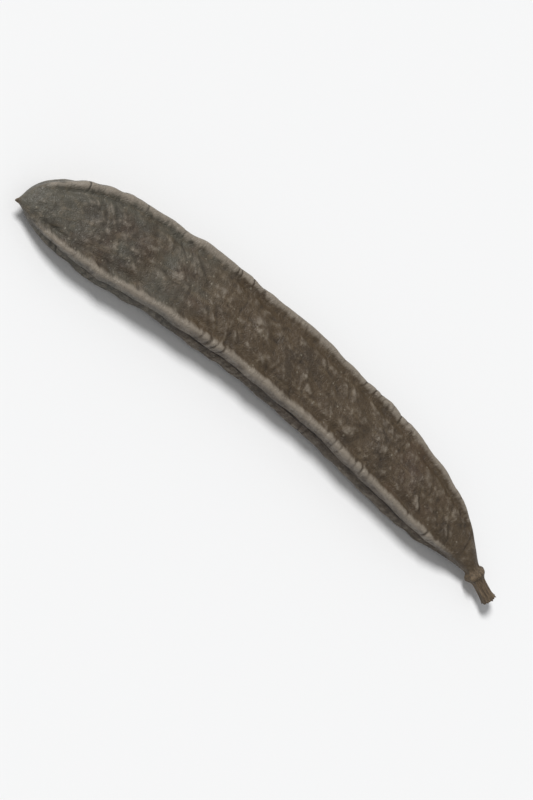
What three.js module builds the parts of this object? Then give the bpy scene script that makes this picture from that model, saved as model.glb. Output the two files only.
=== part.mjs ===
// A ripe, dried carob pod, whole and closed, lying on one of its broad faces.
//
// The pod grew as one piece: a short broken stalk, the ring where the flower sat, a narrow neck,
// the flat body with a thick seam along each edge, and a blunt end with its dry point.
// Millimetres, +Z up. X runs along the pod, from the dry point at -X to the stalk at +X.
// The body bows towards +Y. The origin is on the surface that the pod lies on, under the middle
// of its box.
// Places along the pod are measured from the dry point, or from the broken end of the stalk.
import * as THREE from "three";

// The whole pod
const LENGTH = 134; // dry point to the broken end of the stalk, measured along X
const WIDTH = 18.4; // across the face where it is broadest
const THICKNESS = 8.6; // through the seams
const BOW = 8; // how far the middle stands off the straight line between the ends
const ARCH = 0.6; // how far the middle is lifted off the surface
const ARCH_STEEPNESS = 1.5;
const ARCH_POWER = 2.2;
const PRESSED = 0.25; // how much of the low spots is worn flat where the pod lies

// The blunt end and its dry point
const POINT_RADIUS = 0.75;
const POINT_REACH = 1.3; // where the point has its full radius
const POINT_BULGE = 1.2;
const POINT_FULLNESS = 1.6;
const HOOK = 2.9; // how far the dry point is turned towards -Y
const HOOK_REACH = 6.5;
const BLUNT_FROM = 0.6; // where the body begins
const BLUNT_REACH = 25; // how far on from there the face has its full width
const BLUNT_THINNING = 15; // and how far on the body has its full thickness
const BLUNT_BULGE = 2.2;
const BLUNT_FULLNESS = 1.65; // across the face, where more is a blunter end
const BLUNT_PLUMPNESS = 2.1; // and through the thickness
const TIP_DRAWN_IN = 0.5; // how much narrower the end is beside the dry point
const TIP_DRAWN_REACH = 2;
const TIP_TWIST = THREE.MathUtils.degToRad(9);
const TIP_TWIST_REACH = 42;

// The body
const BELLY = 28; // the broadest place, from the dry point
const SLIMMING = 0.15; // how much narrower the body is where the neck begins
const ELLIPSE = 2; // the power of an elliptical section
const SQUARENESS = 3.6; // the power of the body's, with flatter faces and fuller edges
const SQUARE_FROM = 1; // the sections grow from ellipses to their full squareness here
const SQUARE_FULL = 12;
const EDGE_WAVE = 0.14; // how far the outline swells and draws in between one bend and the next
const EDGE_WAVE_LENGTH = 23;
const EDGE_WAVE_START = 2.2;
const SEED_SWELL = 0.09; // how far it swells beside each seed
const SEED_SWELL_START = 0.8;

// The neck and the stalk, measured from the broken end
const NECK_FROM = 5.8; // where the body begins
const NECK_REACH = 31;
const NECK_THINNING = 22;
const NECK_BULGE = 1.7;
const NECK_FULLNESS = 1.45;
const NECK_PLUMPNESS = 1.9;
const NECK_TWIST = THREE.MathUtils.degToRad(6);
const NECK_TWIST_REACH = 46;
const NECK_SQUARE_FROM = 8;
const NECK_SQUARE_FULL = 20;
const STALK_LENGTH = 8;
const STALK_RADIUS = 1.35;
const STALK_ROOT = 12; // the stalk runs on whole inside the neck up to here
const STALK_ROOT_END = 22;
const STALK_FLARE = 0.35; // how much thicker it is at the break
const STALK_FLARE_REACH = 0.8;
const STALK_HOLLOW = 0.25; // how far the middle of the broken end is sunk
const STALK_RIDGES = 7;
const STALK_RIDGE_HEIGHT = 0.09;
const STALK_RIDGE_LEAN = 0.25; // radians round the stalk for each millimetre along it
const RIDGES_UNTIL = 7;
const RIDGES_GONE = 9;
const STALK_TURN = 2.2; // how far the stalk leans towards -Y
const TURN_FROM = 16;
const TURN_TO = -4;
const RING_RADIUS = 2.35;
const RING_AT = 5.9;
const RING_HALF = 0.95;
const RING_LOBES = 5;
const RING_LOBE_HEIGHT = 0.16;

// The relief of the skin, as heights above and below the plain section. It starts behind the dry
// point and before the stalk.
const SKIN_FROM = 1.2;
const SKIN_FULL = 9;
const NECK_SKIN_FROM = 10;
const NECK_SKIN_FULL = 22;
const FACE_FROM = 0.3; // the faces begin here, as a share of the half thickness
const FACE_FULL = 0.75;
const RIB_AT = 0.87; // as a share of the half width
const RIB_SPREAD = 0.09;
const RIB_HEIGHT = 0.75;
const FURROW_AT = 0.67;
const FURROW_SPREAD = 0.12;
const FURROW_DEPTH = 0.6;
const FURROW_UNEVEN = 0.2; // the share of the depth that comes and goes along the pod
const HOLLOW = 0.45; // how far the face between the furrows is sunk
const SEAM_SPREAD = 0.34; // as a share of the half thickness
const SEAM_DEPTH = 0.85;
const SEAM_FROM = 0.75; // the seams begin here, as a share of the half width
const SEAM_FULL = 0.97;

// The bulges over the seeds. Sines that step on from one seed to the next make them uneven.
const SEEDS = 10;
const FIRST_SEED = 17;
const SEED_PITCH = 9.5;
const SEED_LONG = 3.3;
const SEED_BROAD = 3;
const SEED_HEIGHT = 0.64;
const SEED_HEIGHT_VARIES = 0.19;
const SEED_HEIGHT_STEP = 3.1;
const SEED_STRAY = 0.8; // how far a seed lies from its even place
const STRAY_STEP_ALONG = 2.3;
const STRAY_STEP_ACROSS = 1.7;
const BARREN_SEED = 6; // this one never filled, so the skin is sunk over it
const BARREN_HEIGHT = -0.37;
const SQUASHED = 0.5; // how much of the bulges is left on the face that the pod lies on

// The slanting folds that drying left, which come and go in patches, and broad swells
const FOLD_HEIGHT = 0.17;
const FOLD_LENGTH = 6.8; // from one fold to the next along the pod, and then across it
const FOLD_BREADTH = 10;
const FOLD_BEND = 1.5;
const BEND_LENGTH = 33;
const BEND_BREADTH = 14;
const PATCH_SHARE = 0.45;
const PATCH_LENGTH = 19;
const PATCH_BREADTH = -9;
const SWELL_SHARE = 0.8;
const SWELL_LENGTH = 26;
const SWELL_BREADTH = 21;
const EDGE_FOLDS = 0.5; // how much of the folds is left along the edges

// Where the waves start, in radians, the other way round on the face below
const FURROW_START = 1.7;
const FURROW_SIDE_START = 2; // the other way round on the -Y side
const PATCH_START = 2.3;
const SWELL_START = 1.9;

// How finely the skin is cut into faces
const SIDES = 40;
const CORNER_CROWDING = 0.09; // how far the sides crowd towards the ribs, in radians
const TIP_RINGS = 13;
const TIP_SPAN = 6;
const BODY_STEP = 1.12;
const STALK_SPAN = 11;
const STALK_STEP = 0.62;
const DIRECTION_STEP = 0.05; // the middle line's direction is taken this far on and back
const NEARLY = 1e-6; // two heights closer than this are alike

const { clamp } = THREE.MathUtils;

// From 0 at `start` to 1 at `end`, level at both.
function ease(x, start, end) {
  const t = clamp((x - start) / (end - start), 0, 1);
  return t * t * (3 - 2 * t);
}

// A bell that is 1 at 0 and dies away past 1.
function bell(x) {
  return Math.exp(-x * x);
}

// A sine wave that comes round again after `length` along the pod and after `breadth` across it.
function wave(x, y, length, breadth, start) {
  return Math.sin(2 * Math.PI * (x / length + y / breadth) + start);
}

// The larger of two lengths, with a soft change from one to the other.
function softMax(one, other) {
  const power = 4;
  return Math.pow(Math.pow(one, power) + Math.pow(other, power), 1 / power);
}

// From 0 at an end to 1 at `reach`, as the outline of a rounded end does.
function roundedEnd(distance, reach, bulge, fullness) {
  const left = 1 - clamp(distance / reach, 0, 1);
  return Math.pow(1 - Math.pow(left, bulge), 1 / fullness);
}

// The radius of the round wood at either end, and 0 between them.
function rodAt(fromTip) {
  const fromStalk = LENGTH - fromTip;
  const point = POINT_RADIUS * roundedEnd(fromTip, POINT_REACH, POINT_BULGE, POINT_FULLNESS);
  const ring = (RING_RADIUS - STALK_RADIUS) * bell((fromStalk - RING_AT) / RING_HALF);
  const flare = STALK_FLARE * Math.exp(-fromStalk / STALK_FLARE_REACH);
  const stalk = (STALK_RADIUS + flare + ring) * ease(fromStalk, STALK_ROOT_END, STALK_ROOT);
  return Math.max(point, stalk);
}

// Half the width and half the thickness of the plain section, at a distance from the dry point.
function halfSizes(fromTip) {
  const blunt = fromTip - BLUNT_FROM;
  const neck = LENGTH - fromTip - NECK_FROM;
  const slim = 1 - (SLIMMING * Math.max(fromTip - BELLY, 0)) / (LENGTH - STALK_LENGTH - BELLY);
  const swells = SEED_SWELL * wave(fromTip, 0, SEED_PITCH, 1, SEED_SWELL_START);
  const waves = EDGE_WAVE * wave(fromTip, 0, EDGE_WAVE_LENGTH, 1, EDGE_WAVE_START);
  const drawn = 1 - TIP_DRAWN_IN * bell(fromTip / TIP_DRAWN_REACH);
  const wide =
    ((WIDTH / 2) * slim + swells + waves) *
    roundedEnd(blunt, BLUNT_REACH, BLUNT_BULGE, BLUNT_FULLNESS) *
    roundedEnd(neck, NECK_REACH, NECK_BULGE, NECK_FULLNESS);
  const thick =
    (THICKNESS / 2) *
    roundedEnd(blunt, BLUNT_THINNING, BLUNT_BULGE, BLUNT_PLUMPNESS) *
    roundedEnd(neck, NECK_THINNING, NECK_BULGE, NECK_PLUMPNESS);
  const rod = rodAt(fromTip);
  return { wide: softMax(wide * drawn, rod), thick: softMax(thick * drawn, rod) };
}

// The middle line of the pod, at a distance from the dry point.
function spineAt(fromTip) {
  const across = (2 * fromTip) / LENGTH - 1;
  const hook = HOOK * Math.exp(-fromTip / HOOK_REACH);
  const lean = STALK_TURN * ease(LENGTH - fromTip, TURN_FROM, TURN_TO);
  const lift = ARCH * (1 - Math.pow(Math.abs(ARCH_STEEPNESS * across), ARCH_POWER));
  return new THREE.Vector3(fromTip, BOW * (1 - across * across) - hook - lean, lift);
}

// The heights of the bulges over the seeds. `y` is the distance from the middle line, and `face`
// is 1 on the upper face and -1 on the lower one.
function seedsAt(fromTip, y, face) {
  let total = 0;
  for (let i = 0; i < SEEDS; i++) {
    const along = FIRST_SEED + SEED_PITCH * i + SEED_STRAY * Math.sin(STRAY_STEP_ALONG * i);
    const across = SEED_STRAY * Math.sin(STRAY_STEP_ACROSS * i);
    const full = SEED_HEIGHT + SEED_HEIGHT_VARIES * Math.sin(SEED_HEIGHT_STEP * i + face);
    const height = i === BARREN_SEED ? BARREN_HEIGHT : full;
    total += height * bell((fromTip - along) / SEED_LONG) * bell((y - across) / SEED_BROAD);
  }
  return face < 0 ? SQUASHED * total : total;
}

// The heights of the slanting folds and the broad swells.
function foldsAt(fromTip, y, face) {
  const bend = FOLD_BEND * wave(fromTip, y, BEND_LENGTH, BEND_BREADTH, 0);
  const slant = wave(fromTip, y * face, FOLD_LENGTH, FOLD_BREADTH, bend + face);
  const patches = wave(fromTip, y, PATCH_LENGTH, PATCH_BREADTH, PATCH_START * face);
  const swell = SWELL_SHARE * wave(fromTip, y, SWELL_LENGTH, SWELL_BREADTH, SWELL_START * face);
  return FOLD_HEIGHT * (slant * (1 - PATCH_SHARE + PATCH_SHARE * patches) + swell);
}

// The heights of the stalk's ridges and of the lobes of its ring, at an angle round the stalk.
function barkAt(fromStalk, angle) {
  const lean = STALK_RIDGE_LEAN * fromStalk;
  const ridges = STALK_RIDGE_HEIGHT * ease(fromStalk, RIDGES_GONE, RIDGES_UNTIL);
  const lobes = RING_LOBE_HEIGHT * bell((fromStalk - RING_AT) / RING_HALF);
  return ridges * Math.cos(STALK_RIDGES * angle + lean) + lobes * Math.cos(RING_LOBES * angle);
}

// The heights that the skin adds along the section's normal.
// `q` and `e` run from -1 to 1 across the width and through the thickness.
function relief(fromTip, q, e, wide, angle) {
  const fromStalk = LENGTH - fromTip;
  const skin = ease(fromTip, SKIN_FROM, SKIN_FULL) * ease(fromStalk, NECK_SKIN_FROM, NECK_SKIN_FULL);
  const face = e < 0 ? -1 : 1;
  const y = q * wide;
  const out = Math.abs(q);
  const onFace = ease(Math.abs(e), FACE_FROM, FACE_FULL);
  const start = FURROW_START * face + FURROW_SIDE_START * Math.sign(q);
  const depth = 1 - FURROW_UNEVEN + FURROW_UNEVEN * wave(fromTip, 0, PATCH_LENGTH, 1, start);
  const rib = RIB_HEIGHT * bell((out - RIB_AT) / RIB_SPREAD);
  const furrow = -FURROW_DEPTH * depth * bell((out - FURROW_AT) / FURROW_SPREAD);
  const hollow = -HOLLOW * bell(q / FURROW_AT);
  const seam = -SEAM_DEPTH * bell(e / SEAM_SPREAD) * ease(out, SEAM_FROM, SEAM_FULL);
  const folds = foldsAt(fromTip, y, face) * (EDGE_FOLDS + (1 - EDGE_FOLDS) * onFace);
  const onTheFace = (furrow + hollow + seedsAt(fromTip, y, face)) * onFace;
  return skin * (rib + seam + folds + onTheFace) + barkAt(fromStalk, angle);
}

// One closed loop of points round the middle line.
function ringAt(fromTip) {
  const { wide, thick } = halfSizes(fromTip);
  const atTip = ease(fromTip, SQUARE_FROM, SQUARE_FULL);
  const atNeck = ease(LENGTH - fromTip, NECK_SQUARE_FROM, NECK_SQUARE_FULL);
  const power = ELLIPSE + (SQUARENESS - ELLIPSE) * atTip * atNeck;
  const here = spineAt(fromTip);
  const along = spineAt(fromTip + DIRECTION_STEP).sub(spineAt(fromTip - DIRECTION_STEP)).normalize();
  const level = new THREE.Vector3(0, 0, 1).cross(along).normalize();
  const upright = along.clone().cross(level);
  const tipRoll = TIP_TWIST * ease(fromTip, TIP_TWIST_REACH, 0);
  const roll = tipRoll + NECK_TWIST * ease(LENGTH - fromTip, NECK_TWIST_REACH, 0);
  const side = level.clone().multiplyScalar(Math.cos(roll)).addScaledVector(upright, Math.sin(roll));
  const up = upright.clone().multiplyScalar(Math.cos(roll)).addScaledVector(level, -Math.sin(roll));

  const points = [];
  for (let k = 0; k < SIDES; k++) {
    const even = (2 * Math.PI * k) / SIDES;
    const angle = even + CORNER_CROWDING * Math.sin(4 * even);
    const c = Math.cos(angle);
    const s = Math.sin(angle);
    const scale = Math.pow(Math.pow(Math.abs(c), power) + Math.pow(Math.abs(s), power), -1 / power);
    const q = c * scale;
    const e = s * scale;
    const outY = (Math.sign(q) * Math.pow(Math.abs(q), power - 1)) / wide;
    const outZ = (Math.sign(e) * Math.pow(Math.abs(e), power - 1)) / thick;
    const height = relief(fromTip, q, e, wide, angle) / Math.hypot(outY, outZ);
    const point = here.clone();
    point.addScaledVector(side, q * wide + outY * height);
    point.addScaledVector(up, e * thick + outZ * height);
    points.push(point);
  }
  return { points, here, area: wide * thick };
}

// Where the rings stand: crowded at the blunt end, and closer on the stalk than on the body.
function ringPlaces() {
  const places = [];
  for (let i = 1; i <= TIP_RINGS; i++) {
    places.push(TIP_SPAN * Math.pow(i / TIP_RINGS, 2));
  }
  const steps = [
    [TIP_SPAN, LENGTH - STALK_SPAN, BODY_STEP],
    [LENGTH - STALK_SPAN, LENGTH, STALK_STEP],
  ];
  for (const [from, to, step] of steps) {
    const count = Math.round((to - from) / step);
    for (let i = 1; i <= count; i++) {
      places.push(from + ((to - from) * i) / count);
    }
  }
  return places;
}

// Where the pod's weight is: each ring counts by its area and by its distance to the next one.
function weightOf(rings) {
  const weight = new THREE.Vector3();
  let total = 0;
  for (let i = 1; i < rings.length; i++) {
    const heft = rings[i].area * rings[i].here.distanceTo(rings[i - 1].here);
    weight.addScaledVector(rings[i].here, heft);
    total += heft;
  }
  return weight.divideScalar(total);
}

// The height that a plane through three points has at x, y, and the least of their shares in it.
function heightOn(feet, x, y) {
  const [a, b, c] = feet;
  const whole = (b.x - a.x) * (c.y - a.y) - (c.x - a.x) * (b.y - a.y);
  const shareB = ((x - a.x) * (c.y - a.y) - (c.x - a.x) * (y - a.y)) / whole;
  const shareC = ((b.x - a.x) * (y - a.y) - (x - a.x) * (b.y - a.y)) / whole;
  const shareA = 1 - shareB - shareC;
  return { z: a.z * shareA + b.z * shareB + c.z * shareC, least: Math.min(shareA, shareB, shareC) };
}

// The three low spots that the pod rests on. The search starts from three far corners round the
// weight. The lowest point takes the place of the corner that leaves the weight inside the three,
// until nothing is below their plane.
function feetUnder(vertices, weight) {
  const far = 100 * LENGTH;
  let feet = [[-far, -far], [far, -far], [0, far]].map(([x, y]) => new THREE.Vector3(x, y, far));
  const above = (v) => v.z - heightOn(feet, v.x, v.y).z;
  for (;;) {
    const lowest = vertices.reduce((low, v) => (above(v) < above(low) ? v : low));
    if (above(lowest) > -NEARLY) {
      return feet.map((foot) => foot.clone());
    }
    const trials = feet.map((_, i) => feet.map((foot, j) => (i === j ? lowest : foot)));
    const least = (trial) => heightOn(trial, weight.x, weight.y).least;
    feet = trials.reduce((best, trial) => (least(trial) > least(best) ? trial : best));
  }
}

// Lays the pod down on its three low spots, and wears them flat.
function settle(vertices, weight) {
  const feet = feetUnder(vertices, weight);
  for (const v of vertices) {
    v.z = Math.max(v.z - heightOn(feet, v.x, v.y).z - PRESSED, 0);
  }
}

// The skin as one closed surface: rings joined by triangles, with a fan over each end.
function podGeometry() {
  const rings = ringPlaces().map(ringAt);
  const stalkEnd = rings[rings.length - 1].here.clone().add(new THREE.Vector3(-STALK_HOLLOW, 0, 0));
  const vertices = [spineAt(0), ...rings.flatMap((ring) => ring.points), stalkEnd];
  settle(vertices, weightOf(rings));

  const last = vertices.length - 1;
  const corner = (ring, k) => 1 + ring * SIDES + (k % SIDES);
  const faces = [];
  for (let k = 0; k < SIDES; k++) {
    faces.push(0, corner(0, k + 1), corner(0, k));
    faces.push(last, corner(rings.length - 1, k), corner(rings.length - 1, k + 1));
    for (let ring = 0; ring < rings.length - 1; ring++) {
      faces.push(corner(ring, k), corner(ring, k + 1), corner(ring + 1, k));
      faces.push(corner(ring, k + 1), corner(ring + 1, k + 1), corner(ring + 1, k));
    }
  }

  const geometry = new THREE.BufferGeometry().setFromPoints(vertices);
  geometry.setIndex(faces);
  geometry.computeBoundingBox();
  const middle = geometry.boundingBox.getCenter(new THREE.Vector3());
  geometry.translate(-middle.x, -middle.y, 0);
  geometry.computeVertexNormals();
  return geometry;
}

const skin = new THREE.MeshStandardMaterial({ color: 0x5a5046, roughness: 0.55, metalness: 0 });
const pod = new THREE.Mesh(podGeometry(), skin);
pod.name = "pod";

const carob = new THREE.Group();
carob.add(pod);
export default carob;
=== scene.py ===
import math
from itertools import product

import bpy
import numpy as np
from mathutils import Matrix, Vector


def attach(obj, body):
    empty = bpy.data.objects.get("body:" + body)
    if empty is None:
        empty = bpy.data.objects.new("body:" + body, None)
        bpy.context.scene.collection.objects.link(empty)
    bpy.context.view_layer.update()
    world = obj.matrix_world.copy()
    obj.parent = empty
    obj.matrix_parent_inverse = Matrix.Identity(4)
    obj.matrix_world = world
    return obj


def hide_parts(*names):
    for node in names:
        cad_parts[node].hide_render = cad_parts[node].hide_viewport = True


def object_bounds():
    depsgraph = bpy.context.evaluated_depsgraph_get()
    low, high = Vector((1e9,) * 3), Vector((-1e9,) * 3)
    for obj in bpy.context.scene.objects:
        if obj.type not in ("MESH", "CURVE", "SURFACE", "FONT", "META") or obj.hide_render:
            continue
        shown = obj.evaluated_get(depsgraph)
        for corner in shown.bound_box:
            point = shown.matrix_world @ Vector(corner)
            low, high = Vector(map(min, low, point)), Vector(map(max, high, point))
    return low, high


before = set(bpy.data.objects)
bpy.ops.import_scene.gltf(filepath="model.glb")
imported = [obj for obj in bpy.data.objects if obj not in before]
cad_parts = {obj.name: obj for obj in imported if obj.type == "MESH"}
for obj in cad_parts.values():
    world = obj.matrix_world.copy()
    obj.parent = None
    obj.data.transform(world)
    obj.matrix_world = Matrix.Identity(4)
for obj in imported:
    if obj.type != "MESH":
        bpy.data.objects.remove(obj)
cad_low, cad_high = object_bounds()


# The pod
#
# A ripe carob pod is one dried fruit: a flat leathery husk over sweet pulp, with a thick seam
# along each edge. It grew bowed, warped a little as it dried on the tree, and hung from a short
# woody stalk that tore off the twig.

# Lengths are in millimetres until the mesh is made. Places along the pod are measured from the
# dry point, or from the broken end of the stalk.
LENGTH = 134.0
WIDTH = 18.4
THICKNESS = 8.6
BOW = 8.0
ARCH = 0.6
ARCH_STEEPNESS = 1.5
ARCH_POWER = 2.2

# The blunt end and its dry point
POINT_RADIUS = 0.75
POINT_REACH = 1.3
POINT_BULGE = 1.2
POINT_FULLNESS = 1.6
HOOK = 2.9
HOOK_REACH = 6.5
BLUNT_FROM = 0.6
BLUNT_REACH = 25.0
BLUNT_THINNING = 15.0
BLUNT_BULGE = 2.2
BLUNT_FULLNESS = 1.65
BLUNT_PLUMPNESS = 2.1
TIP_DRAWN_IN = 0.5
TIP_DRAWN_REACH = 2.0
TIP_TWIST = math.radians(9)
TIP_TWIST_REACH = 42.0

# The flat body
BELLY = 28.0
SLIMMING = 0.15
SQUARENESS = 3.6
ELLIPSE = 2.0
SQUARE_FROM, SQUARE_FULL = 1.0, 12.0
EDGE_WAVE = 0.14
EDGE_WAVE_LENGTH = 23.0
EDGE_WAVE_START = 2.2
SEED_SWELL = 0.09
SEED_SWELL_START = 0.8

# The neck and the stalk, with the ring where the flower sat
NECK_FROM = 5.8
NECK_REACH = 31.0
NECK_THINNING = 22.0
NECK_BULGE = 1.7
NECK_FULLNESS = 1.45
NECK_PLUMPNESS = 1.9
NECK_TWIST = math.radians(6)
NECK_TWIST_REACH = 46.0
NECK_SQUARE_FROM, NECK_SQUARE_FULL = 8.0, 20.0
STALK_LENGTH = 8.0
STALK_RADIUS = 1.35
STALK_ROOT, STALK_ROOT_END = 12.0, 22.0
STALK_FLARE = 0.35
STALK_FLARE_REACH = 0.8
STALK_RIDGES = 7
STALK_RIDGE_HEIGHT = 0.09
STALK_RIDGE_LEAN = 0.25
RIDGES_UNTIL, RIDGES_GONE = 7.0, 9.0
STALK_TURN = 2.2
TURN_FROM, TURN_TO = 16.0, -4.0
RING_RADIUS = 2.35
RING_AT = 5.9
RING_HALF = 0.95
RING_LOBES = 5
RING_LOBE_HEIGHT = 0.16


def ease(x, start, end):
    """From 0 at `start` to 1 at `end`, level at both: 3t^2 - 2t^3 of the share t of the way."""
    t = np.clip((x - start) / (end - start), 0, 1)
    return t * t * (3 - 2 * t)


def bell(x):
    """A bell that is 1 at 0 and dies away past 1: e to the power of minus x squared."""
    return np.exp(-x * x)


def wave(x, y, length, breadth, start):
    """A sine wave that comes round again after `length` along the pod and `breadth` across it."""
    return np.sin(2 * np.pi * (x / length + y / breadth) + start)


def soft_max(one, other):
    """The larger of two lengths, rounded over: the fourth root of the sum of fourth powers."""
    return (one**4 + other**4) ** 0.25


def rounded_end(distance, reach, bulge, fullness):
    """From 0 at an end to 1 at `reach`: the root, by `fullness`, of 1 less the share left to
    the power of `bulge`, as the outline of a rounded end rises."""
    left = 1 - np.clip(distance / reach, 0, 1)
    return (1 - left**bulge) ** (1 / fullness)


def rod(from_tip):
    """The radius of the round wood at either end: a rounded point at one, and at the other the
    stalk with a bell for its ring and a flare that dies away from the break."""
    from_stalk = LENGTH - from_tip
    point = POINT_RADIUS * rounded_end(from_tip, POINT_REACH, POINT_BULGE, POINT_FULLNESS)
    ring = (RING_RADIUS - STALK_RADIUS) * bell((from_stalk - RING_AT) / RING_HALF)
    flare = STALK_FLARE * np.exp(-from_stalk / STALK_FLARE_REACH)
    stalk = (STALK_RADIUS + flare + ring) * ease(from_stalk, STALK_ROOT_END, STALK_ROOT)
    return np.maximum(point, stalk)


def half_sizes(from_tip):
    """Half the width and half the thickness: the body's, rounded off at both ends, slimmer
    towards the neck, a little wavy and drawn in by a bell at the tip, or the round wood's where
    that is larger."""
    blunt = from_tip - BLUNT_FROM
    neck = LENGTH - from_tip - NECK_FROM
    slim = 1 - SLIMMING * np.maximum(from_tip - BELLY, 0) / (LENGTH - STALK_LENGTH - BELLY)
    swells = SEED_SWELL * wave(from_tip, 0, SEED_PITCH, 1, SEED_SWELL_START)
    waves = EDGE_WAVE * wave(from_tip, 0, EDGE_WAVE_LENGTH, 1, EDGE_WAVE_START)
    drawn = 1 - TIP_DRAWN_IN * bell(from_tip / TIP_DRAWN_REACH)
    wide = (WIDTH / 2 * slim + swells + waves) * drawn
    wide *= rounded_end(blunt, BLUNT_REACH, BLUNT_BULGE, BLUNT_FULLNESS)
    wide *= rounded_end(neck, NECK_REACH, NECK_BULGE, NECK_FULLNESS)
    thick = THICKNESS / 2 * drawn
    thick *= rounded_end(blunt, BLUNT_THINNING, BLUNT_BULGE, BLUNT_PLUMPNESS)
    thick *= rounded_end(neck, NECK_THINNING, NECK_BULGE, NECK_PLUMPNESS)
    return soft_max(wide, rod(from_tip)), soft_max(thick, rod(from_tip))


def spine(from_tip):
    """The middle line: a parabola that bows towards +Y, with the dry point turned back, the stalk
    leaning back, and the middle lifted a little off the table."""
    from_middle = 2 * from_tip / LENGTH - 1
    hook = HOOK * np.exp(-from_tip / HOOK_REACH)
    lean = STALK_TURN * ease(LENGTH - from_tip, TURN_FROM, TURN_TO)
    lift = ARCH * (1 - np.abs(ARCH_STEEPNESS * from_middle) ** ARCH_POWER)
    return np.stack([from_tip, BOW * (1 - from_middle**2) - hook - lean, lift], -1)


# The relief of the husk
#
# Two ribs and a grooved seam run along each edge, with a furrow inside each rib. The seeds push
# the faces up between folds that lie aslant. `aside` is a point's share of the half width and
# `above` its share of the half thickness, from -1 to 1.

SKIN_FROM, SKIN_FULL = 1.2, 9.0
NECK_SKIN_FROM, NECK_SKIN_FULL = 10.0, 22.0
FACE_FROM, FACE_FULL = 0.3, 0.75
RIB_AT = 0.87
RIB_SPREAD = 0.09
RIB_HEIGHT = 0.75
FURROW_AT = 0.67
FURROW_SPREAD = 0.12
FURROW_DEPTH = 0.6
FURROW_UNEVEN = 0.2
FURROW_START = 1.7
FURROW_SIDE_START = 2.0
HOLLOW = 0.45
SEAM_SPREAD = 0.34
SEAM_DEPTH = 0.85
SEAM_FROM, SEAM_FULL = 0.75, 0.97

SEEDS = 10
FIRST_SEED = 17.0
SEED_PITCH = 9.5
SEED_LONG = 3.3
SEED_BROAD = 3.0
SEED_HEIGHT = 0.64
SEED_HEIGHT_VARIES = 0.19
SEED_HEIGHT_STEP = 3.1
SEED_STRAY = 0.8
STRAY_STEP_ALONG = 2.3
STRAY_STEP_ACROSS = 1.7
BARREN_SEED = 6
BARREN_HEIGHT = -0.37
SQUASHED = 0.5

FOLD_HEIGHT = 0.17
FOLD_LENGTH = 6.8
FOLD_BREADTH = 10.0
FOLD_BEND = 1.5
BEND_LENGTH = 33.0
BEND_BREADTH = 14.0
PATCH_SHARE = 0.45
PATCH_LENGTH = 19.0
PATCH_BREADTH = -9.0
PATCH_START = 2.3
SWELL_SHARE = 0.8
SWELL_LENGTH = 26.0
SWELL_BREADTH = 21.0
SWELL_START = 1.9
EDGE_FOLDS = 0.5


def seeds(from_tip, y, face):
    """The bulges over the seeds: a row of bells whose places and heights stray by sines, with
    one sunk where the seed never filled, and all lower on the face that the pod lies on."""
    number = np.arange(SEEDS)
    along = FIRST_SEED + SEED_PITCH * number + SEED_STRAY * np.sin(STRAY_STEP_ALONG * number)
    across = SEED_STRAY * np.sin(STRAY_STEP_ACROSS * number)
    full = SEED_HEIGHT + SEED_HEIGHT_VARIES * np.sin(SEED_HEIGHT_STEP * number + face[..., None])
    height = np.where(number == BARREN_SEED, BARREN_HEIGHT, full)
    bells = bell((from_tip[..., None] - along) / SEED_LONG) * bell((y[..., None] - across) / SEED_BROAD)
    return (height * bells).sum(-1) * np.where(face < 0, SQUASHED, 1.0)


def folds(from_tip, y, face):
    """Slanting folds, a sine wave bent by another and faded in patches by a third, on broad
    swells that are a fourth."""
    bend = FOLD_BEND * wave(from_tip, y, BEND_LENGTH, BEND_BREADTH, 0)
    slant = wave(from_tip, y * face, FOLD_LENGTH, FOLD_BREADTH, bend + face)
    patches = wave(from_tip, y, PATCH_LENGTH, PATCH_BREADTH, PATCH_START * face)
    swell = SWELL_SHARE * wave(from_tip, y, SWELL_LENGTH, SWELL_BREADTH, SWELL_START * face)
    return FOLD_HEIGHT * (slant * (1 - PATCH_SHARE + PATCH_SHARE * patches) + swell)


def bark(from_stalk, angle):
    """The stalk's ridges and the lobes of its ring: cosines of the angle round the stalk."""
    lean = STALK_RIDGE_LEAN * from_stalk
    ridges = STALK_RIDGE_HEIGHT * ease(from_stalk, RIDGES_GONE, RIDGES_UNTIL)
    lobes = RING_LOBE_HEIGHT * bell((from_stalk - RING_AT) / RING_HALF)
    return ridges * np.cos(STALK_RIDGES * angle + lean) + lobes * np.cos(RING_LOBES * angle)


def relief(from_tip, aside, above, wide, angle):
    """The height of the skin: two ribs and two furrows on each face and a groove along each edge,
    all bells of the place across, with the seeds' bulges, the folds and the stalk's bark."""
    from_stalk = LENGTH - from_tip
    skin = ease(from_tip, SKIN_FROM, SKIN_FULL) * ease(from_stalk, NECK_SKIN_FROM, NECK_SKIN_FULL)
    face = np.where(above < 0, -1.0, 1.0)
    y = aside * wide
    out = np.abs(aside)
    on_face = ease(np.abs(above), FACE_FROM, FACE_FULL)
    start = FURROW_START * face + FURROW_SIDE_START * np.sign(aside)
    depth = 1 - FURROW_UNEVEN + FURROW_UNEVEN * wave(from_tip, 0, PATCH_LENGTH, 1, start)
    rib = RIB_HEIGHT * bell((out - RIB_AT) / RIB_SPREAD)
    furrow = -FURROW_DEPTH * depth * bell((out - FURROW_AT) / FURROW_SPREAD)
    hollow = -HOLLOW * bell(aside / FURROW_AT)
    seam = -SEAM_DEPTH * bell(above / SEAM_SPREAD) * ease(out, SEAM_FROM, SEAM_FULL)
    folded = folds(from_tip, y, face) * (EDGE_FOLDS + (1 - EDGE_FOLDS) * on_face)
    on_the_face = (furrow + hollow + seeds(from_tip, y, face)) * on_face
    return skin * (rib + seam + folded + on_the_face) + bark(from_stalk, angle)


# The wrinkles that came with drying
#
# The husk shrank over the pulp. Its wrinkles are too fine to turn the pod's outline, but each one
# is a real fold, from creases three millimetres apart down to the grain of the skin.

LATTICE = 64
NOISE_GAIN = 1.7

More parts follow.
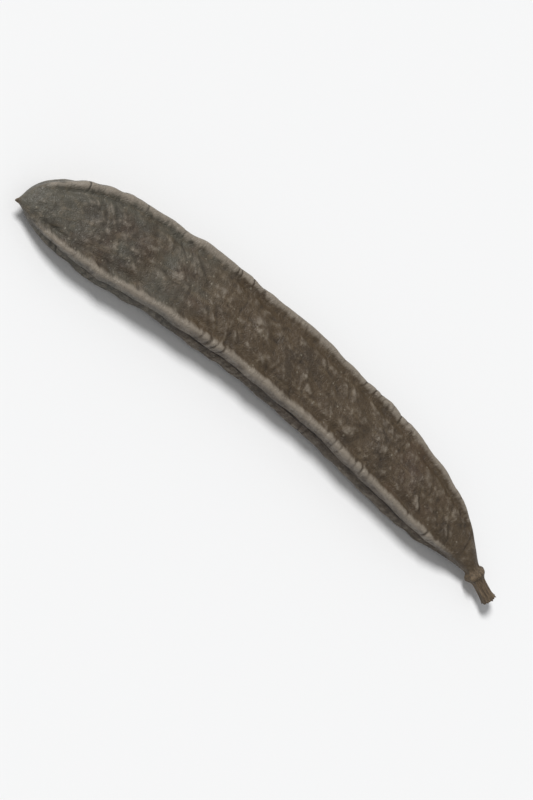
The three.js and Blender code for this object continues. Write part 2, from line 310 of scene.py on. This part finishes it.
# Each family of wrinkles: its random seed, and its size along, across and through the pod
DRIFT_ALONG = 11, 9.0, 9.0, 9.0
DRIFT_ACROSS = 12, 11.0, 7.0, 7.0
CREASE_PATCHES = 13, 13.0, 8.0, 8.0
NICK_PATCHES = 14, 7.0, 5.0, 5.0
SLANTING = 21, 2.9, 5.2, 6.0
CROSSING = 22, 4.6, 2.6, 6.0
SMALL = 23, 1.3, 2.4, 4.0
NICKS = 31, 2.1, 9.0, 9.0
LINES = 41, 16.0, 1.25, 1.25
FINE_LINES = 42, 8.0, 0.7, 0.7
PLEATS = 51, 14.0, 1.5, 1.5
GRAIN = 61, 0.95, 0.8, 0.8
LUMPS = 62, 5.0, 4.0, 4.0

# Where the wrinkles begin and where they are full
PAST_TIP = 0.8, 5.0
PAST_STALK = 9.0, 14.0
OFF_EDGE = 0.35, 0.8
INSIDE_RIBS = 0.92, 0.7
NICKED_FROM = -0.1, 0.5
NICK_SPREAD = 0.16

DRIFT_REACH_ALONG = 2.4
DRIFT_REACH_ACROSS = 1.6
CREASE_LEAN = 0.55
SLANTING_DEPTH = 0.14
SLANTING_SHARPNESS = 4.2
SLANTING_LEAST = 0.35
CROSSING_DEPTH = 0.11
CROSSING_SHARPNESS = 4.0
CROSSING_FADES = 0.5
CROSSING_APART = 54.0
SMALL_DEPTH = 0.05
SMALL_SHARPNESS = 2.6
NICK_DEPTH = 0.16
NICK_SHARPNESS = 5.5
LINE_DEPTH = 0.045
FINE_LINE_SHARE = 0.6
FACE_LINES = 0.35
PLEAT_DEPTH = 0.1
TIP_PLEATS_AT, TIP_PLEATS_REACH = 4.0, 7.0
NECK_PLEATS_AT, NECK_PLEATS_REACH = 16.0, 9.0
GRAIN_DEPTH = 0.03
LUMP_HEIGHT = 0.1


def lattice_noise(family, x, y, z):
    """Smooth random heights from about -1 to 1. Each corner of a lattice with cells of the
    family's size has a random slope, and a point blends the slopes of the eight corners round it
    with 6t^5 - 15t^4 + 10t^3."""
    seed, *cell_size = family
    slopes = np.random.default_rng(seed).normal(size=(LATTICE, LATTICE, LATTICE, 3))
    slopes /= np.linalg.norm(slopes, axis=-1, keepdims=True)
    place = np.stack(np.broadcast_arrays(x, y, z), -1) / cell_size
    cell = np.floor(place).astype(int)
    t = place - cell
    fade = t * t * t * (t * (t * 6 - 15) + 10)
    height = np.zeros(place.shape[:-1])
    for corner in product((0, 1), repeat=3):
        at = (cell + corner) % LATTICE
        slope = slopes[at[..., 0], at[..., 1], at[..., 2]]
        weight = np.where(corner, fade, 1 - fade).prod(-1)
        height += weight * ((t - corner) * slope).sum(-1)
    return height * NOISE_GAIN


def creases(sharpness, family, x, y, z):
    """Narrow valleys with rounded skin between them: 1 where the noise crosses zero, falling off
    as a bell of `sharpness` times the noise."""
    return bell(sharpness * lattice_noise(family, x, y, z))


def wrinkles(from_tip, y, z, aside, above):
    """The height of the wrinkles at a place on the straightened pod: two families of creases and
    a smaller third on its faces, nicks across its ribs, lines along its edges, pleats that fade as
    bells from both ends, grain and low lumps. A drift bends the creases, so none runs straight."""
    from_stalk = LENGTH - from_tip
    skin = ease(from_tip, *PAST_TIP) * ease(from_stalk, *PAST_STALK)
    on_face = ease(np.abs(above), *OFF_EDGE) * ease(np.abs(aside), *INSIDE_RIBS)
    on_rib = bell((np.abs(aside) - RIB_AT) / NICK_SPREAD)

    drifted_x = from_tip + DRIFT_REACH_ALONG * lattice_noise(DRIFT_ALONG, from_tip, y, z)
    drifted_y = y + DRIFT_REACH_ACROSS * lattice_noise(DRIFT_ACROSS, from_tip, y, z)
    leaning_x = drifted_x * math.cos(CREASE_LEAN) + drifted_y * math.sin(CREASE_LEAN)
    leaning_y = drifted_y * math.cos(CREASE_LEAN) - drifted_x * math.sin(CREASE_LEAN)
    patchy = 0.5 + 0.5 * lattice_noise(CREASE_PATCHES, from_tip, y, z)
    slanting = SLANTING_DEPTH * creases(SLANTING_SHARPNESS, SLANTING, leaning_x, leaning_y, z)
    slanting *= SLANTING_LEAST + (1 - SLANTING_LEAST) * patchy
    crossing_z = z + CROSSING_APART
    crossing = CROSSING_DEPTH * creases(CROSSING_SHARPNESS, CROSSING, leaning_x, leaning_y, crossing_z)
    crossing *= 1 - CROSSING_FADES * patchy
    small = SMALL_DEPTH * creases(SMALL_SHARPNESS, SMALL, leaning_x, leaning_y, z)
    faces = -(slanting + crossing + small)

    nicked = ease(lattice_noise(NICK_PATCHES, from_tip, y, z), *NICKED_FROM)
    ribs = -NICK_DEPTH * creases(NICK_SHARPNESS, NICKS, drifted_x, y, z) * nicked * on_rib

    lengthwise = lattice_noise(LINES, from_tip, drifted_y, z)
    lengthwise += FINE_LINE_SHARE * lattice_noise(FINE_LINES, from_tip, drifted_y, z)
    lines = LINE_DEPTH * lengthwise * (FACE_LINES + (1 - FACE_LINES) * (1 - on_face))

    near_ends = bell((from_tip - TIP_PLEATS_AT) / TIP_PLEATS_REACH)
    near_ends = near_ends + bell((from_stalk - NECK_PLEATS_AT) / NECK_PLEATS_REACH)
    pleats = PLEAT_DEPTH * lattice_noise(PLEATS, from_tip, y, z) * near_ends

    grain = GRAIN_DEPTH * lattice_noise(GRAIN, from_tip, y, z)
    lumps = LUMP_HEIGHT * lattice_noise(LUMPS, from_tip, y, z)
    return skin * (faces * on_face + ribs + lines + pleats + grain + lumps)


# The skin of the whole pod
#
# One closed skin of rings round the middle line, from the dry point to the stalk. The end of the
# stalk tore off the twig, so it is a rough round of broken fibres. The pod lies on three low
# spots round its weight, worn a little flat.

SIDES = 156
CORNER_CROWDING = 0.09
TIP_RINGS = 44
TIP_SPAN = 6.0
BODY_RINGS = 486
STALK_RINGS = 80
STALK_SPAN = 11.0
DIRECTION_STEP = 0.05

# The broken end: rings that close it, and two families of random heights for its torn fibres,
# both cut across at one slice
BREAK_RINGS = 12
BREAK_DEPTH = 0.3
TORN_REACH = 1.0
SPLINTER_HEIGHT = 0.28
SPLINTERS = 71, 0.42, 0.42, 1.0
THIN_SPLINTERS = 72, 0.42, 0.42, 1.0
THINNER = 2.6
THIN_SHARE = 0.4
BREAK_SLICE = 0.5

# How deep the low spots are worn, and how the search for the plane that they lie in ends
PRESSED = 0.25
FAR = 100 * LENGTH
MOST_SWAPS = 60
NEARLY = 1e-6
ROUNDING = 1e-9

MM_IN_A_METRE = 1000

from_tip = np.concatenate([
    TIP_SPAN * (np.arange(1, TIP_RINGS + 1) / TIP_RINGS) ** 2,
    TIP_SPAN + (LENGTH - STALK_SPAN - TIP_SPAN) * np.arange(1, BODY_RINGS + 1) / BODY_RINGS,
    LENGTH - STALK_SPAN + STALK_SPAN * np.arange(1, STALK_RINGS + 1) / STALK_RINGS,
])[:, None]
from_stalk = LENGTH - from_tip
even = 2 * np.pi * np.arange(SIDES)[None, :] / SIDES
angle = even + CORNER_CROWDING * np.sin(4 * even)

# The section is an ellipse of a higher power: at each angle it reaches as far as makes the powers
# of its two shares add up to 1. The power is 2 at both ends, a plain ellipse, and squarer between.
wide, thick = half_sizes(from_tip)
power = ELLIPSE + (SQUARENESS - ELLIPSE) * ease(from_tip, SQUARE_FROM, SQUARE_FULL)
power = ELLIPSE + (power - ELLIPSE) * ease(from_stalk, NECK_SQUARE_FROM, NECK_SQUARE_FULL)
cosine, sine = np.cos(angle), np.sin(angle)
reach = (np.abs(cosine) ** power + np.abs(sine) ** power) ** (-1 / power)
aside, above = cosine * reach, sine * reach

here = spine(from_tip)
ahead = spine(from_tip + DIRECTION_STEP) - spine(from_tip - DIRECTION_STEP)
ahead /= np.linalg.norm(ahead, axis=-1, keepdims=True)
level = np.cross([0.0, 0.0, 1.0], ahead)
level /= np.linalg.norm(level, axis=-1, keepdims=True)
upright = np.cross(ahead, level)
roll = TIP_TWIST * ease(from_tip, TIP_TWIST_REACH, 0) + NECK_TWIST * ease(from_stalk, NECK_TWIST_REACH, 0)
roll = roll[..., None]
side = level * np.cos(roll) + upright * np.sin(roll)
up = upright * np.cos(roll) - level * np.sin(roll)

out_y = np.sign(aside) * np.abs(aside) ** (power - 1) / wide
out_z = np.sign(above) * np.abs(above) ** (power - 1) / thick
steep = np.hypot(out_y, out_z)
tall = relief(from_tip + 0 * aside, aside, above, wide, angle)
fine = wrinkles(from_tip, aside * wide, above * thick, aside, above)


def skin_points(height):
    """The section's own point, moved out along the section's normal by a height."""
    sideways = aside * wide + out_y / steep * height
    upwards = above * thick + out_z / steep * height
    return here + side * sideways[..., None] + up * upwards[..., None]


def support(points, weight):
    """The highest plane under every point, measured below the weight. It starts through three far
    corners round the weight, and the lowest point takes the place of the corner that leaves the
    weight inside the three, until nothing is below the plane."""
    feet = np.array([[-FAR, -FAR, FAR], [FAR, -FAR, FAR], [0, FAR, FAR]])
    for _ in range(MOST_SWAPS):
        plane = np.linalg.solve(np.column_stack([feet[:, :2], np.ones(3)]), feet[:, 2])
        clear = points[:, 2] - points[:, :2] @ plane[:2] - plane[2]
        if clear.min() > -NEARLY:
            break
        lowest = points[clear.argmin()]
        for corner in range(3):
            trial = feet.copy()
            trial[corner] = lowest
            corners = np.column_stack([trial[:, :2], np.ones(3)])
            shares = np.linalg.solve(corners.T, [weight[0], weight[1], 1])
            if shares.min() >= -ROUNDING:
                feet = trial
                break
    return plane


def splinters(y, z):
    """How far the torn fibres stand out at a place on the stalk's section: a random height, and a
    share of a second one that changes faster."""
    coarse = lattice_noise(SPLINTERS, y, z, BREAK_SLICE)
    thin = lattice_noise(THIN_SPLINTERS, THINNER * y, THINNER * z, BREAK_SLICE)
    return SPLINTER_HEIGHT * (coarse + THIN_SHARE * thin)


unwrinkled = skin_points(tall)
heft = (np.gradient(from_tip[:, 0]) * wide[:, 0] * thick[:, 0])[:, None]
weight = (here[:, 0] * heft).sum(0) / heft.sum()
plane = support(unwrinkled.reshape(-1, 3), weight)

inwards = 1 - np.arange(1, BREAK_RINGS + 1)[:, None] / (BREAK_RINGS + 1)
skin_rings = skin_points(tall + fine)
heart = skin_rings[-1].mean(0)
torn_rings = heart + inwards[..., None] * (skin_rings[-1] - heart)
torn_rings[..., 0] -= BREAK_DEPTH * (1 - inwards**2)
points = np.concatenate([skin_rings, torn_rings])
section_y = np.concatenate([aside * wide, inwards * (aside * wide)[-1]])
section_z = np.concatenate([above * thick, inwards * (above * thick)[-1]])
torn = np.concatenate([ease(from_stalk, TORN_REACH, 0), np.ones_like(inwards)])
points[..., 0] += torn * splinters(section_y, section_z)
first = spine(np.array([0.0]))
last = heart - [[BREAK_DEPTH - splinters(np.array(0.0), np.array(0.0)), 0, 0]]
vertices = np.concatenate([first, points.reshape(-1, 3), last])
vertices[:, 2] -= vertices[:, :2] @ plane[:2] + plane[2] + PRESSED
vertices[:, 2] = np.maximum(vertices[:, 2], 0)
box_middle = (vertices.min(0) + vertices.max(0)) / 2
cad_middle = MM_IN_A_METRE / 2 * (np.array(cad_low) + np.array(cad_high))
vertices[:, :2] += cad_middle[:2] - box_middle[:2]

ring, place = np.meshgrid(np.arange(len(points) - 1), np.arange(SIDES), indexing="ij")
next_place = (place + 1) % SIDES
this_ring, next_ring = 1 + ring * SIDES, 1 + (ring + 1) * SIDES
corners = this_ring + place, this_ring + next_place, next_ring + next_place, next_ring + place
quads = np.stack(corners, -1)
place = np.arange(SIDES)
next_place = (place + 1) % SIDES
tip_fan = np.stack([0 * place, 1 + next_place, 1 + place], -1)
end = len(vertices) - 1
stalk_fan = np.stack([0 * place + end, end - SIDES + place, end - SIDES + next_place], -1)

mesh = bpy.data.meshes.new("carob_pod")
faces = quads.reshape(-1, 4).tolist() + tip_fan.tolist() + stalk_fan.tolist()
mesh.from_pydata(vertices / MM_IN_A_METRE, [], faces)
mesh.polygons.foreach_set("use_smooth", np.ones(len(mesh.polygons), bool))

# What the finish follows: how far the skin stands out of its surroundings, within so many rings
# along and sides round, and where the ribs, the seams and the bare wood are
BROAD_BLUR = 40, 16
FINE_BLUR = 10, 4
PALER_RIB_PAST_TIP = 1.5, 8.0
PALER_RIB_PAST_STALK = 10.0, 20.0
PALER_RIB_SPREAD = 1.2
SEAM_SHADE_SPREAD = 0.8
SEAM_SHADE_FROM = 0.8, 0.97
WOOD_PAST_STALK = 6.6, 8.6
WOOD_PAST_TIP = 0.3, 1.1


def blurred(height, along, around):
    """A grid of heights, `along` times averaged one way and `around` times the other, where an
    average is half the height itself and a quarter of each of its two neighbours."""
    for _ in range(along):
        padded = np.pad(height, ((1, 1), (0, 0)), mode="edge")
        height = (padded[:-2] + 2 * padded[1:-1] + padded[2:]) / 4
    for _ in range(around):
        height = (np.roll(height, 1, 1) + 2 * height + np.roll(height, -1, 1)) / 4
    return height


def keep_on_skin(name, grid):
    """Stores one number for each point: the grid's, carried on over the torn end and both poles."""
    grid = np.pad(grid, ((0, BREAK_RINGS), (0, 0)), mode="edge")
    values = np.concatenate([grid[0, :1], grid.ravel(), grid[-1, :1]]).astype(np.float32)
    mesh.attributes.new(name, "FLOAT", "POINT").data.foreach_set("value", values)


total = tall + fine
off_ends = ease(from_tip, *PALER_RIB_PAST_TIP) * ease(from_stalk, *PALER_RIB_PAST_STALK)
on_rib = bell((np.abs(aside) - RIB_AT) / (PALER_RIB_SPREAD * RIB_SPREAD)) * off_ends
in_seam = bell(above / (SEAM_SHADE_SPREAD * SEAM_SPREAD)) * ease(np.abs(aside), *SEAM_SHADE_FROM) * off_ends
stalk_wood = 1 - ease(from_stalk + 0 * aside, *WOOD_PAST_STALK)
point_wood = 1 - ease(from_tip + 0 * aside, *WOOD_PAST_TIP)
keep_on_skin("stands", total - blurred(total, *BROAD_BLUR))
keep_on_skin("fine_stands", fine - blurred(fine, *FINE_BLUR))
keep_on_skin("on_rib", on_rib)
keep_on_skin("in_seam", in_seam)
keep_on_skin("wood", np.maximum(stalk_wood, point_wood))
along = np.concatenate([from_tip, LENGTH - 0 * inwards]) + 0 * section_y
straight = np.stack([along, section_y, section_z], -1).reshape(-1, 3)
straight = np.concatenate([[[0, 0, 0]], straight, [[LENGTH, 0, 0]]]).astype(np.float32)
mesh.attributes.new("straight", "FLOAT_VECTOR", "POINT").data.foreach_set("vector", straight.ravel())
pod = bpy.data.objects.new("carob_pod", mesh)
bpy.context.scene.collection.objects.link(pod)


# The finish of the dried skin
#
# The husk dries to a satin leather, olive grey towards the dry point and browner towards the stalk.
# The ribs are rubbed paler by other pods, and all raised skin is painted paler still as a painted
# highlight; the creases and the seam's groove are painted darker as painted shade; the stalk is bare wood.

OLIVE_GREY = (0.086, 0.079, 0.061, 1)
OLIVE_TAN = (0.070, 0.048, 0.027, 1)
DARK_BROWN = (0.034, 0.025, 0.017, 1)
RED_BROWN = (0.072, 0.040, 0.025, 1)
WARM_TAN = (0.152, 0.114, 0.069, 1)
# A pale grey for rib wear and for a painted highlight on the raised skin
WEAR_AND_HIGHLIGHT_GREY = (0.250, 0.214, 0.172, 1)
# A near-black brown for painted shade in the creases, and for the seam's real dark line
SHADE_AND_SEAM_LINE_BROWN = (0.014, 0.010, 0.007, 1)
PALE_SPECK = (0.30, 0.27, 0.21, 1)
WOOD_TAN = (0.165, 0.118, 0.071, 1)
WOOD_DARK = (0.046, 0.031, 0.019, 1)

# Where the grey ends and the tan is full, and how far a slow noise moves both along the pod
GREY_UNTIL, TAN_FROM = 30.0, 47.0
COLOUR_SWAY = 60.0

# How many marks of each pattern there are to a millimetre
SWAY_SCALE = 0.06
PATCH_SCALE = 0.13
RED_SCALE = 0.085
MOTTLE_SCALE = 0.42
DAPPLE_SCALE = 1.15
GRAIN_SCALE = 2.2

# How much of its colour each mark lays over the skin, and where it begins and is full
# Rib wear with a painted highlight on the raised skin
WEAR_AND_HIGHLIGHT_FROM, WEAR_AND_HIGHLIGHT_FULL = 0.7, 1.35
# Painted shade in the creases and the seam's groove
SUNK_SHADE_FROM, SUNK_SHADE_FULL = 0.0, 0.09
FIBRE_DARK, FIBRE_PALE = 0.35, 0.65
WEAR_AND_HIGHLIGHT_STRENGTH = 0.85
SUNK_SHADE_STRENGTH = 0.5
LINE_STRENGTH = 0.8
SPECK_STRENGTH = 0.4
WOOD_STRENGTH = 0.85

# The thin dark line where the two halves of the husk meet, which wanders in the seam's groove
LINE_EDGE, LINE_CORE = 0.3, 0.07
LINE_WANDER = 1.2

# Specks of dust: two cells in five have one, and its size is a share of the cell
SPECK_CELLS = 0.62
BARE_CELLS, SPECKED_CELLS = 0.6, 0.62
SPECK_EDGE, SPECK_CORE = 0.17, 0.08

# How far a pattern is stretched along, across and through the pod: below 1 draws it out
STREAK_STRETCH = 0.1, 1.3, 1.3
FIBRE_STRETCH = 0.35, 4.0, 4.0
WANDER_STRETCH = 0.25, 0, 0
SOFT_FOLD_STRETCH = 0.75, 0.5, 0.5
SMALL_FOLD_STRETCH = 1.3, 1.7, 1.7

LEAST_ROUGHNESS = 0.32
SHINE = 0.4

# The finest relief: how strongly its place is bent, how wide its rims are, and, in metres, how high
# it stands
BEND_SCALE = 0.9
BEND_REACH = (1.1, 1.1, 1.1)
PEBBLE_SCALE = 1.5
PEBBLE_RIM = 0.3
SOFT_FOLD_RIM = 0.06
SMALL_FOLD_RIM = 0.08
FINEST_RELIEF = 0.00009


def add(tree, kind, inputs=None, **settings):
    """A shader node with its settings, and its inputs joined to sockets or set to values."""
    node = tree.nodes.new("ShaderNode" + kind)
    for name, value in settings.items():
        setattr(node, name, value)
    for name, value in (inputs or {}).items():
        if isinstance(value, bpy.types.NodeSocket):
            tree.links.new(value, node.inputs[name])
        else:
            node.inputs[name].default_value = value
    return node


def between(tree, value, low, high, to_low=0.0, to_high=1.0):
    """A value spread smoothly from the range low to high over the range to_low to to_high."""
    inputs = {"Value": value, "From Min": low, "From Max": high, "To Min": to_low, "To Max": to_high}
    return add(tree, "MapRange", inputs, interpolation_type="SMOOTHSTEP").outputs["Result"]


def reckon(tree, operation, one, other=0.0, third=0.0):
    """One sum with two or three values."""
    return add(tree, "Math", {0: one, 1: other, 2: third}, operation=operation).outputs["Value"]


def weighed(tree, *shares):
    """The sum of several values, each times its own weight."""
    total = 0.0
    for value, weight in shares:
        total = reckon(tree, "MULTIPLY_ADD", value, weight, total)
    return total


def tint(tree, share, under, over):
    """One colour laid over another by a share. A colour mix has its factor in socket 0, its
    colours in 6 and 7 and its result in 2."""
    return add(tree, "Mix", {0: share, 6: under, 7: over}, data_type="RGBA").outputs[2]


def noise(tree, vector, scale=1.0, detail=3.0, roughness=0.6, distortion=0.0):
    """The height of a noise, from 0 to 1, with `scale` of its marks to a millimetre."""
    inputs = {"Vector": vector, "Scale": scale, "Detail": detail, "Roughness": roughness}
    inputs["Distortion"] = distortion
    return add(tree, "TexNoise", inputs, noise_dimensions="3D").outputs[0]


def stretched(tree, vector, stretch):
    """A place, scaled by its own amount along each axis."""
    return add(tree, "VectorMath", {0: vector, 1: stretch}, operation="MULTIPLY").outputs["Vector"]


def off_middle(tree, value):
    """How far a noise is from its middle value, one half, either way."""
    return reckon(tree, "ABSOLUTE", weighed(tree, (value, 1.0), (1.0, -0.5)))


def kept(tree, name, output="Fac"):
    """A number or a place that the mesh keeps at each point."""
    return add(tree, "Attribute", attribute_name=name).outputs[output]


husk = bpy.data.materials.new("dried_husk")
husk.use_nodes = True
tree = husk.node_tree
bsdf = tree.nodes["Principled BSDF"]
at = kept(tree, "straight", "Vector")
stands_out = kept(tree, "stands")
fine_out = kept(tree, "fine_stands")
rib = kept(tree, "on_rib")
seam = kept(tree, "in_seam")
woody = kept(tree, "wood")

# The skin's own colours, laid over each other where a pattern passes from one value to another
along, _, through = add(tree, "SeparateXYZ", {"Vector": at}).outputs
sway = noise(tree, at, SWAY_SCALE)
swayed = weighed(tree, (along, 1.0), (sway, COLOUR_SWAY))
tan = between(tree, swayed, GREY_UNTIL + COLOUR_SWAY / 2, TAN_FROM + COLOUR_SWAY / 2)
patches = noise(tree, at, PATCH_SCALE, detail=5, roughness=0.62)
reds = noise(tree, at, RED_SCALE, detail=4, distortion=0.4)
mottle = noise(tree, at, MOTTLE_SCALE, detail=6, roughness=0.68)
dapple = noise(tree, at, DAPPLE_SCALE, detail=4)
streaks = noise(tree, stretched(tree, at, STREAK_STRETCH), detail=4)
colour = tint(tree, tan, OLIVE_GREY, OLIVE_TAN)
for pattern, bare, full, strength, stain in [
    (patches, 0.46, 0.70, 0.60, DARK_BROWN),
    (reds, 0.52, 0.75, 0.50, RED_BROWN),
    (mottle, 0.48, 0.28, 0.50, DARK_BROWN),
    (mottle, 0.50, 0.75, 0.50, WARM_TAN),
    (dapple, 0.52, 0.80, 0.25, WARM_TAN),
    (streaks, 0.50, 0.78, 0.40, WARM_TAN),
]:
    colour = tint(tree, between(tree, pattern, bare, full, to_high=strength), colour, stain)

# What stands out is painted paler, as wear on the ribs and as a painted highlight on all raised
# skin; what is sunk is painted darker as painted shade; and the seam has its real dark line
# Painted highlight and rib wear: the ribs and the raised skin laid over with a paler grey
rubbed_and_highlit = weighed(tree, (rib, 0.45), (stands_out, 0.7), (fine_out, 3.5), (mottle, 0.9), (dapple, 0.5))
wear_and_highlight = between(tree, rubbed_and_highlit, WEAR_AND_HIGHLIGHT_FROM, WEAR_AND_HIGHLIGHT_FULL)
colour = tint(tree, reckon(tree, "MULTIPLY", wear_and_highlight, WEAR_AND_HIGHLIGHT_STRENGTH), colour, WEAR_AND_HIGHLIGHT_GREY)
# Painted shade: the creases and the seam's groove laid over with a near-black brown
sunk = between(tree, weighed(tree, (fine_out, -1.0), (seam, 0.05)), SUNK_SHADE_FROM, SUNK_SHADE_FULL)
colour = tint(tree, reckon(tree, "MULTIPLY", sunk, SUNK_SHADE_STRENGTH), colour, SHADE_AND_SEAM_LINE_BROWN)
wander = noise(tree, stretched(tree, at, WANDER_STRETCH))
off_line = weighed(tree, (through, 1.0), (wander, LINE_WANDER), (1.0, -LINE_WANDER / 2))
near_line = between(tree, reckon(tree, "ABSOLUTE", off_line), LINE_EDGE, LINE_CORE)
line = reckon(tree, "MULTIPLY", near_line, seam)
colour = tint(tree, reckon(tree, "MULTIPLY", line, LINE_STRENGTH), colour, SHADE_AND_SEAM_LINE_BROWN)

cells = add(tree, "TexVoronoi", {"Vector": at, "Scale": SPECK_CELLS, "Randomness": 1.0})
cell_number = add(tree, "SeparateColor", {"Color": cells.outputs["Color"]}).outputs[0]
chosen = between(tree, cell_number, BARE_CELLS, SPECKED_CELLS)
near_speck = between(tree, cells.outputs["Distance"], SPECK_EDGE, SPECK_CORE)
specks = reckon(tree, "MULTIPLY", near_speck, chosen)
colour = tint(tree, reckon(tree, "MULTIPLY", specks, SPECK_STRENGTH), colour, PALE_SPECK)

fibres = noise(tree, stretched(tree, at, FIBRE_STRETCH), detail=4, roughness=0.65)
timber = tint(tree, between(tree, fibres, FIBRE_DARK, FIBRE_PALE), WOOD_DARK, WOOD_TAN)
colour = tint(tree, reckon(tree, "MULTIPLY", woody, WOOD_STRENGTH), colour, timber)
tree.links.new(colour, bsdf.inputs["Base Color"])

roughness = weighed(tree, (sunk, 0.2), (mottle, 0.22), (wear_and_highlight, -0.06), (woody, 0.18), (patches, 0.12))
roughness = reckon(tree, "ADD", roughness, LEAST_ROUGHNESS)
tree.links.new(roughness, bsdf.inputs["Roughness"])

# Soft folds and pebbles with rounded rims, at a place that a noise bends, over a fine grain
bend = add(tree, "TexNoise", {"Vector": at, "Scale": BEND_SCALE, "Detail": 2.0}).outputs["Color"]
bending = {0: bend, 1: BEND_REACH, 2: at}
bent = add(tree, "VectorMath", bending, operation="MULTIPLY_ADD").outputs["Vector"]
pebbling = {"Vector": bent, "Scale": PEBBLE_SCALE, "Randomness": 1.0}
net = add(tree, "TexVoronoi", pebbling, feature="DISTANCE_TO_EDGE")
pebbles = between(tree, net.outputs["Distance"], 0.0, PEBBLE_RIM)
grain = noise(tree, at, GRAIN_SCALE, detail=5, roughness=0.62)
soft_folds = noise(tree, stretched(tree, bent, SOFT_FOLD_STRETCH), detail=2)
small_folds = noise(tree, stretched(tree, bent, SMALL_FOLD_STRETCH), detail=2)
soft_folds = between(tree, off_middle(tree, soft_folds), 0.0, SOFT_FOLD_RIM)
small_folds = between(tree, off_middle(tree, small_folds), 0.0, SMALL_FOLD_RIM)
height = weighed(tree, (grain, 0.45), (streaks, 0.7), (dapple, 0.5), (pebbles, 0.2), (fibres, 0.3))
height = weighed(tree, (height, 1.0), (soft_folds, 0.5), (small_folds, 0.35), (line, -1.6))
bump = add(tree, "Bump", {"Strength": 1.0, "Distance": FINEST_RELIEF, "Height": height})
tree.links.new(bump.outputs["Normal"], bsdf.inputs["Normal"])
bsdf.inputs["Specular IOR Level"].default_value = SHINE
mesh.materials.append(husk)

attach(pod, "root")
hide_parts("pod")


# The table
#
# A plain pale sheet that the pod lies on, so wide that no edge of it shows, and dull, so that
# the pod's shadow falls on it softly.

TABLE_SIZE = 6.0
TABLE_WHITE = (0.88, 0.88, 0.88, 1)
TABLE_ROUGHNESS = 0.8

bpy.ops.mesh.primitive_plane_add(size=TABLE_SIZE)
table = bpy.context.active_object
table.name = "table"
paper = bpy.data.materials.new("pale_table")
paper.use_nodes = True
paper.node_tree.nodes["Principled BSDF"].inputs["Base Color"].default_value = TABLE_WHITE
paper.node_tree.nodes["Principled BSDF"].inputs["Roughness"].default_value = TABLE_ROUGHNESS
table.data.materials.append(paper)


# The camera
#
# It looks at the pod from in front of its broad face, from the side of the dry point and a little
# from below its edge, with the dry point up on the left and the pod sloping down to the right.

PHOTO_WIDE, PHOTO_HIGH = 533, 800
VIEW_FROM = Vector((-0.40, -0.34, 0.85)).normalized()
SLOPE = math.radians(32.2)
SLOPE_FROM, SLOPE_TO = 22.0, 40.0
LENS = 135.0
SENSOR = 36.0
FILLED = 0.9

heading = Vector(spine(np.array(SLOPE_TO)) - spine(np.array(SLOPE_FROM)))
heading = (heading - heading.dot(VIEW_FROM) * VIEW_FROM).normalized()
right = heading * math.cos(SLOPE) + VIEW_FROM.cross(heading) * math.sin(SLOPE)
top = VIEW_FROM.cross(right)
axes = np.array([right, top, VIEW_FROM])
seen = (vertices / MM_IN_A_METRE) @ axes.T
spread = seen.max(0) - seen.min(0)
aim = Vector((seen.max(0) + seen.min(0)) / 2 @ axes)
distance = spread[0] / FILLED * PHOTO_HIGH / PHOTO_WIDE * LENS / SENSOR

camera = bpy.data.objects.new("camera", bpy.data.cameras.new("camera"))
bpy.context.scene.collection.objects.link(camera)
camera.data.lens = LENS
camera.data.sensor_width = SENSOR
camera.data.clip_start = 0.01
camera.data.clip_end = 20
turn = Matrix((right, top, VIEW_FROM)).transposed().to_4x4()
camera.matrix_world = Matrix.Translation(aim + VIEW_FROM * distance) @ turn
bpy.context.scene.camera = camera


# The light
#
# A broad soft key light from above the camera, and a pale sky all round that fills the shadows.

SKY_COLOUR = (0.98, 0.99, 1.0, 1)
SKY_STRENGTH = 0.36
KEY_ENERGY = 2.8
KEY_BREADTH = math.radians(16)
KEY_TO_CAMERA, KEY_TO_RIGHT, KEY_TO_TOP = 0.83, 0.12, 0.55

bpy.context.scene.view_settings.view_transform = "Standard"
world = bpy.data.worlds.new("studio")
bpy.context.scene.world = world
world.use_nodes = True
world.node_tree.nodes["Background"].inputs["Color"].default_value = SKY_COLOUR
world.node_tree.nodes["Background"].inputs["Strength"].default_value = SKY_STRENGTH
key = bpy.data.objects.new("key", bpy.data.lights.new("key", "SUN"))
bpy.context.scene.collection.objects.link(key)
key.data.energy = KEY_ENERGY
key.data.angle = KEY_BREADTH
key_from = (VIEW_FROM * KEY_TO_CAMERA + right * KEY_TO_RIGHT + top * KEY_TO_TOP).normalized()
key.rotation_mode = "QUATERNION"
key.rotation_quaternion = key_from.to_track_quat("Z", "Y")
